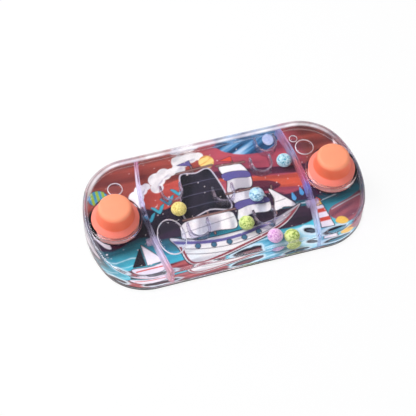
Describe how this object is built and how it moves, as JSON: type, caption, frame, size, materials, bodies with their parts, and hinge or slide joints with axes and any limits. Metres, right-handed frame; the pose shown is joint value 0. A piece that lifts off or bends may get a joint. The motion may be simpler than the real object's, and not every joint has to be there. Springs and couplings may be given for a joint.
{
  "type": "handheld water game",
  "caption": "Flat clear water-filled case with bowed ends, a thumb pump at each end, curved dividers, catch pockets and loose textured balls over a printed card.",
  "frame": {"origin": "middle of the flat back face", "axes": "+X along the case from the left pump to the right pump, +Y from the near edge to the far edge, +Z out of the front through the buttons"},
  "size_m": [0.145, 0.072, 0.0269],
  "materials": {
    "clear_shell": "polished",
    "clear_back": "polished",
    "clear_inner": "polished",
    "printed_card": "satin",
    "coral_silicone": "matte",
    "white_silicone": "matte",
    "ball_yellow": "matte",
    "ball_blue": "matte",
    "ball_aqua": "matte",
    "ball_pink": "matte",
    "ball_green": "matte"
  },
  "bodies": {
    "case": {"front_shell": "clear_shell", "back_cover": "clear_back", "picture_card": "printed_card", "left_divider": "clear_inner", "right_divider": "clear_inner", "left_nozzle": "clear_inner", "right_nozzle": "clear_inner", "left_button_skirt": "coral_silicone", "right_button_skirt": "coral_silicone", "left_clamp_ring": "clear_inner", "right_clamp_ring": "clear_inner", "catch_pocket_1": "clear_inner", "catch_pocket_2": "clear_inner", "catch_pocket_3": "clear_inner", "catch_pocket_4": "clear_inner", "catch_pocket_5": "clear_inner", "catch_pocket_6": "clear_inner"},
    "left_button": {"left_button": "coral_silicone"},
    "right_button": {"right_button": "coral_silicone"},
    "filling_plug": {"filling_plug": "white_silicone"},
    "yellow_ball": {"yellow_ball": "ball_yellow"},
    "blue_ball": {"blue_ball": "ball_blue"},
    "aqua_ball": {"aqua_ball": "ball_aqua"},
    "pink_ball": {"pink_ball": "ball_pink"},
    "green_ball_1": {"green_ball_1": "ball_green"},
    "green_ball_2": {"green_ball_2": "ball_green"}
  },
  "joints": [
    {"name": "left_press", "type": "slide", "parent": "case", "child": "left_button", "axis": [0, 0, 1], "range_m": [-0.005, 0], "stiffness_N_per_m": 400, "springref_m": 0.0004},
    {"name": "right_press", "type": "slide", "parent": "case", "child": "right_button", "axis": [0, 0, 1], "range_m": [-0.005, 0], "stiffness_N_per_m": 400, "springref_m": 0.0004},
    {"name": "plug_pull", "type": "slide", "parent": "case", "child": "filling_plug", "axis": [0, 0, -1], "range_m": [0, 0.006]},
    {"name": "yellow_drift", "type": "slide", "parent": "case", "child": "yellow_ball", "axis": [1, 0, 0], "range_m": [-0.0115, 0.014]},
    {"name": "blue_drift", "type": "slide", "parent": "case", "child": "blue_ball", "axis": [1, 0, 0], "range_m": [-0.0055, 0.0115]},
    {"name": "aqua_drift", "type": "slide", "parent": "case", "child": "aqua_ball", "axis": [0, 1, 0], "range_m": [-0.022, 0]},
    {"name": "pink_drift", "type": "slide", "parent": "case", "child": "pink_ball", "axis": [1, 0, 0], "range_m": [-0.045, 0]},
    {"name": "green_1_drift", "type": "slide", "parent": "case", "child": "green_ball_1", "axis": [1, 0, 0], "range_m": [-0.0135, 0]},
    {"name": "green_2_drift", "type": "slide", "parent": "case", "child": "green_ball_2", "axis": [1, 0, 0], "range_m": [0, 0.008]}
  ]
}
